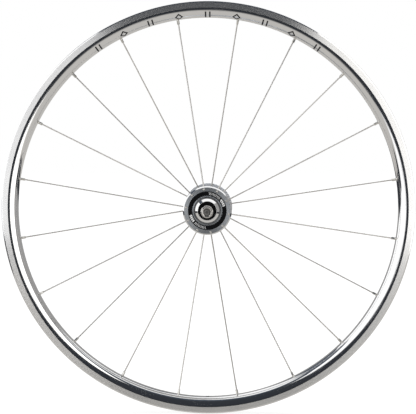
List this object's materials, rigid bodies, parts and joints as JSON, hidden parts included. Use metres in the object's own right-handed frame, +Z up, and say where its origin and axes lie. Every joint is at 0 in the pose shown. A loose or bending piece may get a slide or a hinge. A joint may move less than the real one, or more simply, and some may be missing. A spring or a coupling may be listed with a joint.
{
  "type": "bicycle front wheel",
  "caption": "Radially spoked bicycle front wheel with a deep polished clincher rim, high-flange hub and nutted axle, no tyre",
  "frame": {"origin": "centre of the wheel, on the axle's axis and in the rim's middle plane", "axes": "+X forwards on the bicycle, +Y along the axle towards the left side, +Z up; the valve hole is at the bottom"},
  "size_m": [0.634, 0.136, 0.634],
  "materials": {
    "polished_aluminium": "polished extruded aluminium, with a machined brake track on each side",
    "satin_aluminium": "satin anodised flanges with polished noses",
    "stainless_steel": "bright drawn stainless steel wire",
    "nickel_plated_brass": "nickel-plated brass",
    "bearing_steel": "ground bearing steel",
    "axle_steel": "dark rolled steel with threads",
    "turned_steel": "turned and plated steel",
    "zinc_plated_steel": "bright zinc plating",
    "black_rubber": "matt black moulded rubber",
    "black_label": null,
    "cotton_tape": "woven cotton tape"
  },
  "bodies": {
    "axle": {"axle_rod": "axle_steel", "bearing_inner_race_right": "bearing_steel", "lock_spacer_right": "turned_steel", "bearing_inner_race_left": "bearing_steel", "lock_spacer_left": "turned_steel"},
    "wheel": {"rim": "polished_aluminium", "rim_tape": "cotton_tape", "hub_shell": "satin_aluminium", "spoke_01": "stainless_steel", "spoke_02": "stainless_steel", "spoke_03": "stainless_steel", "spoke_04": "stainless_steel", "spoke_05": "stainless_steel", "spoke_06": "stainless_steel", "spoke_07": "stainless_steel", "spoke_08": "stainless_steel", "spoke_09": "stainless_steel", "spoke_10": "stainless_steel", "spoke_11": "stainless_steel", "spoke_12": "stainless_steel", "spoke_13": "stainless_steel", "spoke_14": "stainless_steel", "spoke_15": "stainless_steel", "spoke_16": "stainless_steel", "spoke_17": "stainless_steel", "spoke_18": "stainless_steel", "spoke_19": "stainless_steel", "spoke_20": "stainless_steel", "nipple_01": "nickel_plated_brass", "nipple_02": "nickel_plated_brass", "nipple_03": "nickel_plated_brass", "nipple_04": "nickel_plated_brass", "nipple_05": "nickel_plated_brass", "nipple_06": "nickel_plated_brass", "nipple_07": "nickel_plated_brass", "nipple_08": "nickel_plated_brass", "nipple_09": "nickel_plated_brass", "nipple_10": "nickel_plated_brass", "nipple_11": "nickel_plated_brass", "nipple_12": "nickel_plated_brass", "nipple_13": "nickel_plated_brass", "nipple_14": "nickel_plated_brass", "nipple_15": "nickel_plated_brass", "nipple_16": "nickel_plated_brass", "nipple_17": "nickel_plated_brass", "nipple_18": "nickel_plated_brass", "nipple_19": "nickel_plated_brass", "nipple_20": "nickel_plated_brass", "bearing_outer_race_right": "bearing_steel", "dust_cover_right": "black_rubber", "label_band_right": "black_label", "bearing_outer_race_left": "bearing_steel", "dust_cover_left": "black_rubber", "label_band_left": "black_label"},
    "ball_cage_right": {"bearing_ball_cage_right": "bearing_steel"},
    "ball_cage_left": {"bearing_ball_cage_left": "bearing_steel"},
    "washer_right": {"serrated_washer_right": "zinc_plated_steel"},
    "nut_right": {"axle_nut_right": "zinc_plated_steel"},
    "washer_left": {"serrated_washer_left": "zinc_plated_steel"},
    "nut_left": {"axle_nut_left": "zinc_plated_steel"}
  },
  "joints": [
    {"name": "wheel_spin", "type": "hinge", "parent": "axle", "child": "wheel", "pos_m": [0, 0, 0], "axis": [0, 1, 0], "continuous": true},
    {"name": "ball_cage_right_spin", "type": "hinge", "parent": "axle", "child": "ball_cage_right", "pos_m": [0, -0.0316, 0], "axis": [0, 1, 0], "continuous": true},
    {"name": "ball_cage_left_spin", "type": "hinge", "parent": "axle", "child": "ball_cage_left", "pos_m": [0, 0.0316, 0], "axis": [0, 1, 0], "continuous": true},
    {"name": "nut_right_travel", "type": "slide", "parent": "axle", "child": "washer_right", "axis": [0, -1, 0], "range_m": [-0.00601, 0.00901]},
    {"name": "nut_right_turn", "type": "hinge", "parent": "washer_right", "child": "nut_right", "pos_m": [0, -0.0624, 0], "axis": [0, -1, 0], "range_deg": [-2160, 3240]},
    {"name": "nut_left_travel", "type": "slide", "parent": "axle", "child": "washer_left", "axis": [0, 1, 0], "range_m": [-0.00601, 0.00901]},
    {"name": "nut_left_turn", "type": "hinge", "parent": "washer_left", "child": "nut_left", "pos_m": [0, 0.0624, 0], "axis": [0, 1, 0], "range_deg": [-2160, 3240]}
  ],
  "couplings": [
    {"joint": "ball_cage_right_spin", "follows": "wheel_spin", "ratio": 0.5971},
    {"joint": "ball_cage_left_spin", "follows": "wheel_spin", "ratio": 0.5971},
    {"joint": "nut_right_travel", "follows": "nut_right_turn", "m_per_rad": 0.00015915},
    {"joint": "nut_left_travel", "follows": "nut_left_turn", "m_per_rad": 0.00015915}
  ]
}
